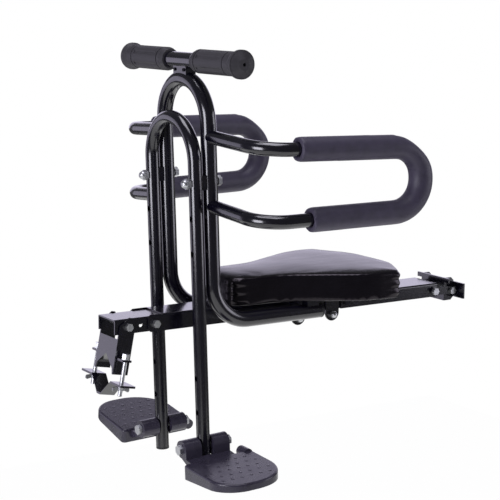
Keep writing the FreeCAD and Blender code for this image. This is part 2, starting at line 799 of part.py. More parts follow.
# A folded bracket hangs from the slider's pivot, and a V jaw is welded between its sides
def front_clamp():
    notch = [(f"-({bracket_outer})", "-web_drop"), (bracket_outer, "-web_drop"),
             (bracket_outer, "-bracket_drop"), (bracket_inner, "-bracket_drop"),
             ("flange_inner-valley_half", "-notch_foot"),
             ("0", "-notch_peak"), ("valley_half-flange_inner", "-notch_foot"),
             (f"-({bracket_inner})", "-bracket_drop"), (f"-({bracket_outer})", "-bracket_drop")]
    pieces = [plate("YZ_Plane", notch, "-bracket_front", "bracket_sheet")]
    stud_at = ("-stud_front", "stud_span/2")
    for side in sides.values():
        wall = span(side, bracket_inner, bracket_outer)
        outline = [("-bracket_front", "-bracket_drop"), ("-bracket_front", "0"),
                   ("-bracket_front+bracket_top", "bracket_top"),
                   ("bracket_rear-bracket_top/2", "bracket_top"),
                   ("bracket_rear", "bracket_top/2"), ("bracket_rear", "-bracket_drop")]
        pieces.append(plate("XZ_Plane", outline, f"-({wall[1]})", "bracket_sheet"))
        ear = span(side, bracket_outer, "ear_end")
        pieces.append(box(("-stud_front-ear_half", "-stud_front+ear_half"), ear,
                          ("-ear_drop-ear_sheet", "-ear_drop")))
    holes = [cross_hole("0", "0")]
    for side in sides.values():
        holes.append(rod("-z", (stud_at[0], f"{side}*{stud_at[1]}", "0"), "bolt_dia/2", "stud_drop"))
    node(cut(join(*pieces), *holes), "clamp_bracket", "clamp")
    jaw_edge = f"{bracket_inner}-sheet_gap"
    vee = [("0", "-notch_peak"), (jaw_edge, "-notch_foot"), (jaw_edge, "-notch_foot+vee_sheet"),
           ("0", "-notch_peak+vee_sheet"), (f"-({jaw_edge})", "-notch_foot+vee_sheet"),
           (f"-({jaw_edge})", "-notch_foot")]
    node(plate("YZ_Plane", vee, "-bracket_front+bracket_sheet", "2*jaw_half"), "upper_jaw", "clamp")
    for label, side in sides.items():
        seat = (stud_at[0], f"{side}*{stud_at[1]}", "-ear_drop")
        node(hex_bolt("-z", seat, "stud_drop-ear_drop", head="stud_head"), f"{label}_stud", "clamp")
    half = f"{bracket_outer}+sheet_gap"
    pivot = rod("-y", ("0", half, "0"), "bolt_dia/2", f"2*({half})+nut_height")
    node(join(pivot, hexagon("y", ("0", half, "0"), "bolt_flats", "head_height")), "pivot_bolt", "clamp")
    node(plain_nut("-y", ("0", f"-({half})", "0")), "pivot_nut", "clamp")


# The lower jaw is one bent plate: a flange for each stud and a valley between them
def lower_jaw():
    upper = [("-flange_outer", "-flange_drop"), ("-flange_inner", "-flange_drop"),
             ("-valley_half", "-valley_drop"), ("valley_half", "-valley_drop"),
             ("flange_inner", "-flange_drop"), ("flange_outer", "-flange_drop")]
    under = [("flange_outer", "-flange_drop-jaw_sheet"),
             ("flange_inner-jaw_sheet", "-flange_drop-jaw_sheet"),
             ("valley_half-jaw_sheet/2", "-valley_drop-jaw_sheet"),
             ("-valley_half+jaw_sheet/2", "-valley_drop-jaw_sheet"),
             ("-flange_inner+jaw_sheet", "-flange_drop-jaw_sheet"),
             ("-flange_outer", "-flange_drop-jaw_sheet")]
    body = plate("YZ_Plane", upper + under, "-jaw_front", "jaw_front+jaw_rear")
    holes = [rod("-z", ("-stud_front", f"{side}*stud_span/2", "0"), "bolt_dia/2+swing_gap", "stud_drop")
             for side in sides.values()]
    node(cut(body, *holes), "lower_jaw", "clamp")


def wing_nut(label, side):
    spot = ("-stud_front", f"{side}*stud_span/2")
    top = "-flange_drop-jaw_sheet-sheet_gap"
    hub = cone("-z", (*spot, top), "wing_hub/2", "wing_hub/2-hub_taper", "wing_height")
    blade = [("-wing_span/2", f"{top}-wing_height-wing_rise/2"), ("-wing_span/2", f"{top}-wing_rise/2"),
             ("-wing_hub/4", f"{top}-hub_taper"), ("wing_hub/4", f"{top}-hub_taper"),
             ("wing_span/2", f"{top}-wing_rise/2"),
             ("wing_span/2", f"{top}-wing_height-wing_rise/2"), ("wing_hub/2", f"{top}-wing_height"),
             ("-wing_hub/2", f"{top}-wing_height")]
    shifted = [(f"{u}-stud_front", v) for u, v in blade]
    wings = plate("XZ_Plane", shifted, f"-({spot[1]}+wing_sheet/2)", "wing_sheet")
    corners = [(value(shifted[place][0]), value(shifted[place][1])) for place in (0, 1, 4, 5)]
    soften(wings, "tip_round", lambda edge: is_corner(edge, corners))
    bore = rod("-z", (*spot, "0"), bolt_bore, "stud_drop+wing_height")
    node(cut(join(hub, wings), bore), f"{label}_wing_nut", "clamp")


def is_corner(edge, spots):
    ends = [vertex.Point for vertex in edge.Vertexes]
    if len(ends) != 2 or math.hypot(ends[0].x - ends[1].x, ends[0].z - ends[1].z) > 0.001:
        return False
    return any(math.hypot(ends[0].x - x, ends[0].z - z) < 0.01 for x, z in spots)


link_inner = f"{channel_half}+sheet_gap"
link_outer = f"{link_inner}+link_sheet"


def rear_links():
    slope = math.atan2(value("post_drop-link_drop"), value("hinge_at-link_at"))
    for label, side in sides.items():
        wall = span(side, link_inner, link_outer)
        ends = [rod("y", (place, wall[0], f"-{drop}"), "link_width/2", "link_sheet")
                for place, drop in (("link_at", "link_drop"), ("hinge_at", "post_drop"))]
        lift = f"link_width/2*{math.cos(slope):.5f}"
        shove = f"link_width/2*{math.sin(slope):.5f}"
        middle = [(f"link_at+{shove}", f"-link_drop+{lift}"), (f"hinge_at+{shove}", f"-post_drop+{lift}"),
                  (f"hinge_at-{shove}", f"-post_drop-{lift}"), (f"link_at-{shove}", f"-link_drop-{lift}")]
        strip = plate("XZ_Plane", middle, f"-({wall[1]})", "link_sheet")
        holes = [cross_hole("link_at", "-link_drop"), cross_hole("hinge_at", "-post_drop")]
        node(cut(join(strip, *ends), *holes), f"{label}_link")
        out = "y" if side > 0 else "-y"
        back = "-y" if side > 0 else "y"
        inner = ("hinge_at", f"{side}*rear_ear_inner", "-post_drop")
        seat = ("hinge_at", f"{side}*({link_outer}+sheet_gap)", "-post_drop")
        shank = rod(out, inner, "bolt_dia/2", f"{link_outer}+sheet_gap-rear_ear_inner")
        hinge = join(shank, hexagon(out, seat, "bolt_flats", "head_height"),
                     rod(back, inner, "bolt_flats/2", "hinge_head"))
        node(hinge, f"{label}_hinge_bolt")
    through(("link_at", "-link_drop"), f"{link_outer}+sheet_gap", "link")


post_radius = "post_dia/2+post_fit"
strap_places = [f"{side}*strap_bolt_at" for side in sides.values()]


# The rear bracket's web and ears, the strap round the post, and the rubber pad between
def rear_clamp():
    ear_outer = "rear_ear_inner+bracket_sheet"
    web = ("web_at", "web_at+web_sheet")
    pieces = [box(web, ("-wing_half", "wing_half"), ("-wing_low", "wing_top")),
              box(web, (f"-({ear_outer})", ear_outer), ("-rear_ear_drop", "-wing_low"))]
    for side in sides.values():
        wall = span(side, "rear_ear_inner", ear_outer)
        outline = [("web_at", "-rear_ear_drop"), ("web_at", "wing_top"),
                   ("rear_ear_end-ear_chamfer", "wing_top"),
                   ("rear_ear_end", "wing_top-ear_chamfer"), ("rear_ear_end", "-rear_ear_drop+ear_chamfer"),
                   ("rear_ear_end-ear_chamfer", "-rear_ear_drop")]
        pieces.append(plate("XZ_Plane", outline, f"-({wall[1]})", "bracket_sheet"))
    holes = [cross_hole("hinge_at", "-post_drop")]
    holes += [rod("x", ("web_at-cut_past", y, "-post_drop"), "strap_bolt_dia/2", "web_sheet+2*cut_past")
              for y in strap_places]
    node(cut(join(*pieces), *holes), "rear_bracket")
    tall = ("-post_drop-strap_height/2", "-post_drop+strap_height/2")
    foot = ("post_to_hoop", "0", tall[0])
    flanges = box(("strap_at", "strap_at+strap_sheet"), ("-strap_half", "strap_half"), tall)
    arc = cut(rod("z", foot, f"{post_radius}+strap_sheet", "strap_height"),
              box(("web_at", "strap_at"), ("-strap_half", "strap_half"), tall))
    bores = [rod("x", ("strap_at-cut_past", y, "-post_drop"), "strap_bolt_dia/2+bore_gap",
                 "strap_sheet+2*cut_past") for y in strap_places]
    node(cut(join(flanges, arc), rod("z", foot, post_radius, "strap_height"), *bores), "rear_strap")
    block = box(("web_at+web_sheet", "hinge_at"), ("-pad_half", "pad_half"), tall)
    node(cut(block, rod("z", foot, post_radius, "strap_height")), "post_pad")
    bolts = [hex_bolt("x", ("web_at", y, "-post_drop"), "strap_at+strap_sheet-web_at+nut_height",
                      "strap_bolt_dia", "strap_flats", "screw_head_height") for y in strap_places]
    nuts = [plain_nut("x", ("strap_at+strap_sheet", y, "-post_drop"), "strap_flats", "strap_bolt_dia")
            for y in strap_places]
    node(group(*bolts), "strap_bolts")
    node(group(*nuts), "strap_nuts")


# A moulded wedge tread hangs by two knuckles from a bolt through the leg and folds up sideways
def pedal(label, side, raised):
    inset = "leg_tube/2+swing_gap"
    rim = "-pedal_top-pedal_dip"
    profile = [("pedal_inner", "-pedal_top"), ("pedal_outer", rim), ("pedal_outer", f"{rim}-pedal_thin"),
               ("pedal_inner", "-pedal_top-pedal_thick")]
    tread = plate("YZ_Plane", [(f"{side}*{y}", z) for y, z in profile], "-pedal_front",
                  "pedal_front+pedal_rear")
    inner, outer = (side * value(text) for text in ("pedal_inner", "pedal_outer"))
    front, rear = -value("pedal_front"), value("pedal_rear")
    soften(tread, "front_round", upright_at([(front, outer)]))
    soften(tread, "rear_corner", upright_at([(rear, outer)]))
    soften(tread, "inner_round", upright_at([(front, inner), (rear, inner)]))
    soften(tread, "pedal_edge", on_tread)
    pieces = [tread]
    joined = "pedal_inner+web_overlap"
    tongue = [("0", "-barrel_dia/2"), (joined, "-pedal_top-pedal_thick+pedal_edge"),
              (joined, "-pedal_top-pedal_edge"), ("barrel_dia/2", "-pedal_top"), ("barrel_dia/2", "0"),
              ("0", "0")]
    for start in ("-barrel_end", inset):
        pieces.append(rod("x", (start, "0", "0"), "barrel_dia/2", f"barrel_end-({inset})"))
        pieces.append(plate("YZ_Plane", [(f"{side}*({y})", z) for y, z in tongue], start,
                            f"barrel_end-({inset})"))
    apron = [(inset, "-pedal_top"), (joined, "-pedal_top-pedal_edge"),
             (joined, "-pedal_top-pedal_thick+pedal_edge"), (inset, "-pedal_top-pedal_thick/2")]
    pieces.append(plate("YZ_Plane", [(f"{side}*({y})", z) for y, z in apron], f"-({inset})", f"2*({inset})"))
    reach = span(side, "stub_inner", "stub_outer")
    pieces.append(rod("y", ("stub_at", reach[0], "-stub_drop"), "stub_dia/2", "stub_outer-stub_inner"))
    blank = join(*pieces)
    blank.Placement.Rotation = FreeCAD.Rotation(Vector(1, 0, 0), 1)
    bind(blank, Placement__Rotation__Angle=f"{side}*({raised})")
    pivot = (f"{side}*hoop_spacing/2", pedal_at)
    put(blank, leg_at, *pivot)
    bore = rod("x", (f"{leg_at}-2*barrel_end", *pivot), stout_bore, "4*barrel_end")
    node(cut(blank, bore), f"{label}_pedal", "hoop")


# The rim of a tread's sloping top, clear of its inner edge
def on_tread(edge):
    inner = value("pedal_inner")
    slope = value("pedal_dip/(pedal_outer-pedal_inner)")
    ends = [(abs(vertex.Y) - inner, vertex.Z + value("pedal_top")) for vertex in edge.Vertexes]
    return all(abs(up + slope * out) < 0.001 for out, up in ends) and max(out for out, up in ends) > 0.001


def pedal_fasteners():
    bolts = []
    nuts = []
    for side in sides.values():
        pivot = (f"{side}*hoop_spacing/2", pedal_at)
        bolts.append(hex_bolt("x", (f"{leg_at}-barrel_end-sheet_gap", *pivot),
                              "2*barrel_end+sheet_gap*2+stout_nut", *stout))
        nuts.append(plain_nut("x", (f"{leg_at}+barrel_end+sheet_gap", *pivot), "stout_flats", "stout_dia",
                              "stout_nut"))
    node(group(*bolts), "pedal_bolts", "hoop")
    node(group(*nuts), "pedal_nuts", "hoop")


hoop_outer = main_hoop()
leg_hoop()
hoop_fasteners()
handlebar()
for name, sign in sides.items():
    grip(name, sign)
    armrest(name, sign, hoop_outer)
main_rail()
front_slider()
rear_channel()
rail_clamps()
run_lugs()
seat()
front_clamp()
lower_jaw()
for name, sign in sides.items():
    wing_nut(name, sign)
rear_links()
rear_clamp()
pedal("left", sides["left"], "0")
pedal("right", sides["right"], "pedal_raise")
pedal_fasteners()

doc.recompute()
failed = [thing.Label for thing in doc.Objects if {"Invalid", "Error"} & set(thing.State)]
failed += [piece.Label for piece in nodes if piece.Shape.isNull() or not piece.Shape.isValid()]
if failed:
    raise RuntimeError("failed: " + ", ".join(failed))
os.makedirs("parts", exist_ok=True)
for piece in nodes:
    piece.Shape.exportStep(f"parts/{piece.Label}.step")
print(len(nodes), "sub-parts written")
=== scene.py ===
import math

import bmesh
import bpy
from mathutils import Matrix, Vector


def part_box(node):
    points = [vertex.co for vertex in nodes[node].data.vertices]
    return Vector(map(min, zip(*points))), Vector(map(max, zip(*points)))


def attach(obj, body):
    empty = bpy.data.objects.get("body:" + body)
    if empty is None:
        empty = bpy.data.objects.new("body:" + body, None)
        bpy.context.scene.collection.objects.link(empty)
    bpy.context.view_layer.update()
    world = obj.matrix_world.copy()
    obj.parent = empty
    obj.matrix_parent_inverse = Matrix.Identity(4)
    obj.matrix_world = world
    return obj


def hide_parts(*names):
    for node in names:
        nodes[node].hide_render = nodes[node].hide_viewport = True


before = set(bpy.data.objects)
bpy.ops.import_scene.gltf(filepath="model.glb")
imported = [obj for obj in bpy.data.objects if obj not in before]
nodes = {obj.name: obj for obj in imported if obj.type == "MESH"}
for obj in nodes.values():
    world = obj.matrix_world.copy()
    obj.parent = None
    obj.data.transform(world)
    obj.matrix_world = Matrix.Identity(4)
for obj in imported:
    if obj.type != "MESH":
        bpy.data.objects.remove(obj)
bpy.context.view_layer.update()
scene = bpy.context.scene
scene.view_settings.view_transform = "Standard"
mm = 0.001
print("frame loaded:", len(nodes), "nodes")


def linear(code):
    shares = [int(code[place:place + 2], 16) / 255 for place in (1, 3, 5)]
    return [share / 12.92 if share <= 0.04045 else ((share + 0.055) / 1.055) ** 2.4
            for share in shares] + [1]


# A texture scale for a feature of that many millimetres
def grain(millimetres):
    return 1000 / millimetres


def addNode(tree, kind, links=None, **settings):
    node = tree.nodes.new(kind)
    for name, setting in settings.items():
        setattr(node, name, setting)
    for socket, source in (links or {}).items():
        if isinstance(source, bpy.types.NodeSocket):
            tree.links.new(source, node.inputs[socket])
        else:
            node.inputs[socket].default_value = source
    return node


def newMaterial(name):
    material = bpy.data.materials.new(name)
    material.use_nodes = True
    material.node_tree.nodes.clear()
    return material, material.node_tree


# Stove-enamelled steel: deep blue-black under a clear gloss, with faint orange peel
def stoveEnamel():
    material, tree = newMaterial("stoveEnamel")
    place = addNode(tree, "ShaderNodeTexCoord").outputs["Object"]
    clouds = addNode(tree, "ShaderNodeTexNoise", {"Vector": place, "Scale": grain(22), "Detail": 3})
    tint = addNode(tree, "ShaderNodeValToRGB", {"Fac": clouds.outputs["Fac"]})
    tint.color_ramp.elements[0].color = linear("#06050d")
    tint.color_ramp.elements[1].color = linear("#0d0b1a")
    gloss = addNode(tree, "ShaderNodeMapRange",
                    {"Value": clouds.outputs["Fac"], "To Min": 0.16, "To Max": 0.24})
    peel = addNode(tree, "ShaderNodeTexNoise", {"Vector": place, "Scale": grain(2.4), "Detail": 1})
    bump = addNode(tree, "ShaderNodeBump",
                   {"Height": peel.outputs["Fac"], "Strength": 0.05, "Distance": 0.2 * mm})
    paint = addNode(tree, "ShaderNodeBsdfPrincipled", {
        "Base Color": tint.outputs["Color"], "Roughness": gloss.outputs["Result"],
        "Normal": bump.outputs["Normal"], "IOR": 1.5,
        "Coat Weight": 0.8, "Coat Roughness": 0.14, "Coat IOR": 1.5})
    addNode(tree, "ShaderNodeOutputMaterial", {"Surface": paint.outputs["BSDF"]})
    return material


# Plated steel, bright zinc or black oxide: metal with slightly blotched gloss and fine turning marks
def zincPlate(name, colours, rough):
    material, tree = newMaterial(name)
    place = addNode(tree, "ShaderNodeTexCoord").outputs["Object"]
    blotch = addNode(tree, "ShaderNodeTexNoise", {"Vector": place, "Scale": grain(4), "Detail": 4})
    tint = addNode(tree, "ShaderNodeValToRGB", {"Fac": blotch.outputs["Fac"]})
    tint.color_ramp.elements[0].color = linear(colours[0])
    tint.color_ramp.elements[1].color = linear(colours[1])
    gloss = addNode(tree, "ShaderNodeMapRange",
                    {"Value": blotch.outputs["Fac"], "To Min": rough, "To Max": rough + 0.16})
    turned = addNode(tree, "ShaderNodeTexNoise", {"Vector": place, "Scale": grain(0.9), "Detail": 2})
    bump = addNode(tree, "ShaderNodeBump",
                   {"Height": turned.outputs["Fac"], "Strength": 0.12, "Distance": 0.1 * mm})
    metal = addNode(tree, "ShaderNodeBsdfPrincipled", {
        "Base Color": tint.outputs["Color"], "Metallic": 1.0, "Roughness": gloss.outputs["Result"],
        "Normal": bump.outputs["Normal"]})
    addNode(tree, "ShaderNodeOutputMaterial", {"Surface": metal.outputs["BSDF"]})
    return material


# Extruded nitrile foam: satin grey-black skin with fine pores and soft unevenness
def nitrileFoam():
    material, tree = newMaterial("nitrileFoam")
    place = addNode(tree, "ShaderNodeTexCoord").outputs["Object"]
    cloud = addNode(tree, "ShaderNodeTexNoise", {"Vector": place, "Scale": grain(14), "Detail": 5})
    tint = addNode(tree, "ShaderNodeValToRGB", {"Fac": cloud.outputs["Fac"]})
    tint.color_ramp.elements[0].color = linear("#2b2736")
    tint.color_ramp.elements[1].color = linear("#433d52")
    # The real pores are finer, and are drawn as coarse as they need to show
    pores = addNode(tree, "ShaderNodeTexVoronoi", {"Vector": place, "Scale": grain(1.1)})
    sag = addNode(tree, "ShaderNodeTexNoise", {"Vector": place, "Scale": grain(9), "Detail": 2})
    soft = addNode(tree, "ShaderNodeBump",
                   {"Height": sag.outputs["Fac"], "Strength": 0.25, "Distance": 0.8 * mm})
    bump = addNode(tree, "ShaderNodeBump", {
        "Height": pores.outputs["Distance"], "Normal": soft.outputs["Normal"],
        "Strength": 0.35, "Distance": 0.3 * mm})
    foam = addNode(tree, "ShaderNodeBsdfPrincipled", {
        "Base Color": tint.outputs["Color"], "Roughness": 0.5, "Normal": bump.outputs["Normal"],
        "Specular IOR Level": 0.5, "Sheen Weight": 0.12, "Sheen Roughness": 0.45,
        "Sheen Tint": linear("#e6e0f6")})
    addNode(tree, "ShaderNodeOutputMaterial", {"Surface": foam.outputs["BSDF"]})
    return material


# Moulded PVC, rubber and plastics: dark grey, from dull to half gloss, with a fine moulded grain
def mouldedSkin(name, colours, rough, pitch, depth):
    material, tree = newMaterial(name)
    place = addNode(tree, "ShaderNodeTexCoord").outputs["Object"]
    cloud = addNode(tree, "ShaderNodeTexNoise", {"Vector": place, "Scale": grain(18), "Detail": 4})
    tint = addNode(tree, "ShaderNodeValToRGB", {"Fac": cloud.outputs["Fac"]})
    tint.color_ramp.elements[0].color = linear(colours[0])
    tint.color_ramp.elements[1].color = linear(colours[1])
    gloss = addNode(tree, "ShaderNodeMapRange",
                    {"Value": cloud.outputs["Fac"], "To Min": rough - 0.06, "To Max": rough + 0.08})
    spark = addNode(tree, "ShaderNodeTexNoise", {"Vector": place, "Scale": grain(pitch), "Detail": 3})
    bump = addNode(tree, "ShaderNodeBump",
                   {"Height": spark.outputs["Fac"], "Strength": depth, "Distance": 0.2 * mm})
    body = addNode(tree, "ShaderNodeBsdfPrincipled", {
        "Base Color": tint.outputs["Color"], "Roughness": gloss.outputs["Result"],
        "Normal": bump.outputs["Normal"], "IOR": 1.5})
    addNode(tree, "ShaderNodeOutputMaterial", {"Surface": body.outputs["BSDF"]})
    return material


# Polyurethane-coated cover cloth: black leather grain, soft gloss, pulled lightly into creases
def coatedCover():
    material, tree = newMaterial("coatedCover")
    place = addNode(tree, "ShaderNodeTexCoord").outputs["Object"]
    cloud = addNode(tree, "ShaderNodeTexNoise", {"Vector": place, "Scale": grain(30), "Detail": 4})
    tint = addNode(tree, "ShaderNodeValToRGB", {"Fac": cloud.outputs["Fac"]})
    tint.color_ramp.elements[0].color = linear("#09080b")
    tint.color_ramp.elements[1].color = linear("#121016")
    gloss = addNode(tree, "ShaderNodeMapRange",
                    {"Value": cloud.outputs["Fac"], "To Min": 0.15, "To Max": 0.26})
    pebble = addNode(tree, "ShaderNodeTexVoronoi", {"Vector": place, "Scale": grain(1.6)})
    stretch = addNode(tree, "ShaderNodeMapping", {"Vector": place, "Scale": (0.3, 1.0, 1.0)})
    pull = addNode(tree, "ShaderNodeTexNoise",
                   {"Vector": stretch.outputs["Vector"], "Scale": grain(16), "Detail": 2})
    crease = addNode(tree, "ShaderNodeBump",
                     {"Height": pull.outputs["Fac"], "Strength": 0.25, "Distance": 1.2 * mm})
    bump = addNode(tree, "ShaderNodeBump", {
        "Height": pebble.outputs["Distance"], "Normal": crease.outputs["Normal"],
        "Strength": 0.14, "Distance": 0.2 * mm})
    cover = addNode(tree, "ShaderNodeBsdfPrincipled", {
        "Base Color": tint.outputs["Color"], "Roughness": gloss.outputs["Result"],
        "Normal": bump.outputs["Normal"], "IOR": 1.48,
        "Specular IOR Level": 0.36, "Specular Tint": linear("#fbeffa")})
    addNode(tree, "ShaderNodeOutputMaterial", {"Surface": cover.outputs["BSDF"]})
    return material


# Plywood stained black: dull, with the long grain of the face veneer showing through
def stainedPly():
    material, tree = newMaterial("stainedPly")
    place = addNode(tree, "ShaderNodeTexCoord").outputs["Object"]
    along = addNode(tree, "ShaderNodeMapping", {"Vector": place, "Scale": (0.08, 1.0, 1.0)})
    fibre = addNode(tree, "ShaderNodeTexNoise",
                    {"Vector": along.outputs["Vector"], "Scale": grain(3), "Detail": 5})
    tint = addNode(tree, "ShaderNodeValToRGB", {"Fac": fibre.outputs["Fac"]})
    tint.color_ramp.elements[0].color = linear("#0f0d0b")
    tint.color_ramp.elements[1].color = linear("#1f1a15")
    bump = addNode(tree, "ShaderNodeBump",
                   {"Height": fibre.outputs["Fac"], "Strength": 0.2, "Distance": 0.2 * mm})
    wood = addNode(tree, "ShaderNodeBsdfPrincipled", {
        "Base Color": tint.outputs["Color"], "Roughness": 0.6, "Normal": bump.outputs["Normal"]})
    addNode(tree, "ShaderNodeOutputMaterial", {"Surface": wood.outputs["BSDF"]})
    return material


enamel = stoveEnamel()
zinc = zincPlate("zincPlate", ("#b3b5b8", "#dcdde0"), rough=0.3)
castZinc = zincPlate("castZinc", ("#96989b", "#bcbdc0"), rough=0.3)
blackOxide = zincPlate("blackOxide", ("#1b1b1f", "#2c2c32"), rough=0.4)
foamSkin = nitrileFoam()
gripVinyl = mouldedSkin("softVinyl", ("#29282c", "#38363b"), rough=0.5, pitch=0.8, depth=0.25)
padRubber = mouldedSkin("butylRubber", ("#18181a", "#232326"), rough=0.7, pitch=1.2, depth=0.3)
nylon = mouldedSkin("glassNylon", ("#2a2733", "#393544"), rough=0.27, pitch=0.7, depth=0.25)
polythene = mouldedSkin("polythene", ("#0e0e12", "#17171c"), rough=0.38, pitch=1.5, depth=0.12)
cover = coatedCover()
ply = stainedPly()

finishes = {
    "frame_paint": enamel, "zinc": zinc, "wing_zinc": castZinc, "foam": foamSkin, "grip_rubber": gripVinyl,
    "pad_rubber": padRubber, "cushion_cover": cover, "board": ply, "pedal_plastic": nylon,
    "plug_plastic": polythene,
}
# These fasteners are dark, and the others are bright
darkFasteners = ("seat_screws", "run_screws", "saddle_screws", "channel_bolt", "channel_nut")
for name, node in nodes.items():
    for slot in node.material_slots:
        dark = name in darkFasteners
        slot.material = blackOxide if dark else finishes[slot.material.name.split(".")[0]]
print("materials set:", len(finishes))

meshSet = {"merge": 0.02 * mm, "smooth": 0.5}


# The node's mesh in a new object, with its loose triangles joined
def softCopy(name, node):
    piece = bpy.data.objects.new(name, nodes[node].data.copy())
    scene.collection.objects.link(piece)
    work = bmesh.new()
    work.from_mesh(piece.data)
    bmesh.ops.remove_doubles(work, verts=work.verts, dist=meshSet["merge"])
    work.to_mesh(piece.data)
    work.free()
    return piece


def applyModifiers(piece):
    baked = bpy.data.meshes.new_from_object(piece.evaluated_get(bpy.context.evaluated_depsgraph_get()))
    piece.modifiers.clear()
    old = piece.data
    piece.data = baked
    bpy.data.meshes.remove(old)


def remesh(piece, voxel):
    modifier = piece.modifiers.new("remesh", "REMESH")
    modifier.mode = "VOXEL"
    modifier.voxel_size = voxel
    applyModifiers(piece)


def relax(work, verts, times):
    for step in range(times):
        bmesh.ops.smooth_vert(work, verts=verts, factor=meshSet["smooth"],
                              use_axis_x=True, use_axis_y=True, use_axis_z=True)


def subdivide(piece):
    modifier = piece.modifiers.new("subdivide", "SUBSURF")
    modifier.levels = 1
    modifier.render_levels = 1


def dress(piece, material, body, slot, *replaced):
    piece.data.materials.clear()
    piece.data.materials.append(material)
    for face in piece.data.polygons:
        face.use_smooth = True
    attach(piece, body)
    if replaced:
        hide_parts(*replaced)


# Plan corners are millimetres from the front edge, half width, and how much of the corner is rounded off
cushionSet = {
    "plan": ((0, 50, 18), (87, 57, 18), (194, 112, 21), (249, 113, 6), (283, 48, 14)),
    "cornerSteps": 7, "wall": 41 * mm, "rim": 5 * mm, "rimSteps": 3, "lip": 9 * mm, "recess": 7 * mm,
    "below": -0.9, "margin": 1 * mm, "voxel": 4 * mm,
    "pressure": 4.0, "frames": 20, "cap": 9 * mm, "free": 1.2 * mm, "smooths": 4,
}
foldSet = {"corners": ((6, 46), (249, 109)), "reach": 14 * mm, "pitch": 12 * mm, "first": 8.4 * mm,
           "depth": 2.2 * mm}


# Draws out the region and moves the new end up
def drawUp(work, faces, rise):
    made = bmesh.ops.extrude_face_region(work, geom=faces)["geom"]
    ends = [part for part in made if isinstance(part, bmesh.types.BMVert)]
    bmesh.ops.translate(work, verts=ends, vec=(0, 0, rise))


# The cover over its foam: a rounded plan drawn up to the wall's height, hollow below for the board
def coveredBlock(low):
    work = bmesh.new()
    corners = [(low[0] + along * mm, half * mm, low[2]) for along, half, cut in cushionSet["plan"]]
    right = [work.verts.new(corner) for corner in corners]
    left = [work.verts.new((x, -y, z)) for x, y, z in corners]
    work.faces.new(right + left[::-1])
    for pair, (along, half, cut) in zip(zip(right, left), cushionSet["plan"]):
        bmesh.ops.bevel(work, geom=list(pair), offset=cut * mm, offset_type="OFFSET", affect="VERTICES",
                        segments=cushionSet["cornerSteps"], profile=0.5, material=-1)
    drawUp(work, work.faces[:], cushionSet["wall"])
    bmesh.ops.recalc_face_normals(work, faces=work.faces[:])
    under = [face for face in work.faces if face.normal.z < cushionSet["below"]]
    bmesh.ops.inset_region(work, faces=under, thickness=cushionSet["lip"])
    drawUp(work, under, cushionSet["recess"])
    bmesh.ops.delete(work, geom=[face for face in under if face.is_valid], context="FACES_ONLY")
    top = low[2] + cushionSet["wall"] - cushionSet["margin"]
    rim = [edge for edge in work.edges
           if edge.calc_length() > 0 and all(vert.co.z > top for vert in edge.verts)]
    bmesh.ops.bevel(work, geom=rim, offset=cushionSet["rim"], offset_type="OFFSET", affect="EDGES",
                    segments=cushionSet["rimSteps"], profile=0.5, material=-1)
    bmesh.ops.recalc_face_normals(work, faces=work.faces[:])
    return work


# Pressure lifts the top panel inside its rim, and the wall stays as it is sewn
def inflate(piece, top):
    mesh = piece.data
    held = piece.vertex_groups.new(name="held")
    free = [vert.index for vert in mesh.vertices if vert.co.z > top - cushionSet["free"]]
    held.add([vert.index for vert in mesh.vertices if vert.co.z <= top - cushionSet["free"]], 1, "REPLACE")
    start = [vert.co.copy() for vert in mesh.vertices]
    cloth = piece.modifiers.new("cloth", "CLOTH")
    cloth.settings.use_pressure = True
    cloth.settings.uniform_pressure_force = cushionSet["pressure"]
    cloth.settings.effector_weights.gravity = 0
    cloth.settings.vertex_group_mass = "held"
    cloth.point_cache.frame_end = cushionSet["frames"]
    for step in range(1, cushionSet["frames"] + 1):
        scene.frame_set(step)
    applyModifiers(piece)
    moves = [vert.co - first for vert, first in zip(piece.data.vertices, start)]
    longest = max(move.length for move in moves)
    share = min(1, cushionSet["cap"] / longest)
    for vert, first, move in zip(piece.data.vertices, start, moves):
        vert.co = first + move * share
    piece.vertex_groups.clear()
    scene.frame_set(1)
    print("cushion lifted by", round(longest / mm, 1), "mm, kept", round(share, 2))
    return free


# The cover is gathered round the corners, where its wall folds over itself
def gatherCorners(work, low):
    for vert in work.verts:
        near = [math.hypot(vert.co.x - low[0] - along * mm, abs(vert.co.y) - half * mm)
                for along, half in foldSet["corners"]]
        weight = max(math.exp(-(span / foldSet["reach"]) ** 2) for span in near)
        wave = math.cos(2 * math.pi * (vert.co.z - low[2] - foldSet["first"]) / foldSet["pitch"])
        vert.co += Vector((vert.normal.x, vert.normal.y, 0)) * (foldSet["depth"] * weight * wave)


def makeCushion():
    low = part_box("seat_cushion")[0]
    piece = bpy.data.objects.new("cushionCover", bpy.data.meshes.new("cushionCover"))
    scene.collection.objects.link(piece)
    work = coveredBlock(low)
    work.to_mesh(piece.data)
    work.free()
    remesh(piece, cushionSet["voxel"])
    free = inflate(piece, low[2] + cushionSet["wall"])
    work = bmesh.new()
    work.from_mesh(piece.data)
    work.verts.ensure_lookup_table()
    relax(work, [work.verts[index] for index in free], cushionSet["smooths"])
    work.normal_update()
    gatherCorners(work, low)
    work.to_mesh(piece.data)
    work.free()
    dress(piece, cover, "frame", "cushion_cover", "seat_cushion")
    subdivide(piece)
    print("cushion:", len(piece.data.vertices), "points")


foamSet = {"voxel": 3 * mm, "smooths": 3}
# The sleeve is drawn thin over the outside of its upper rear bend
bendSet = {"place": (-260.5, 207), "middle": 45 * mm, "wall": 17 * mm, "angle": 52, "spread": 30,
           "thin": 5 * mm}


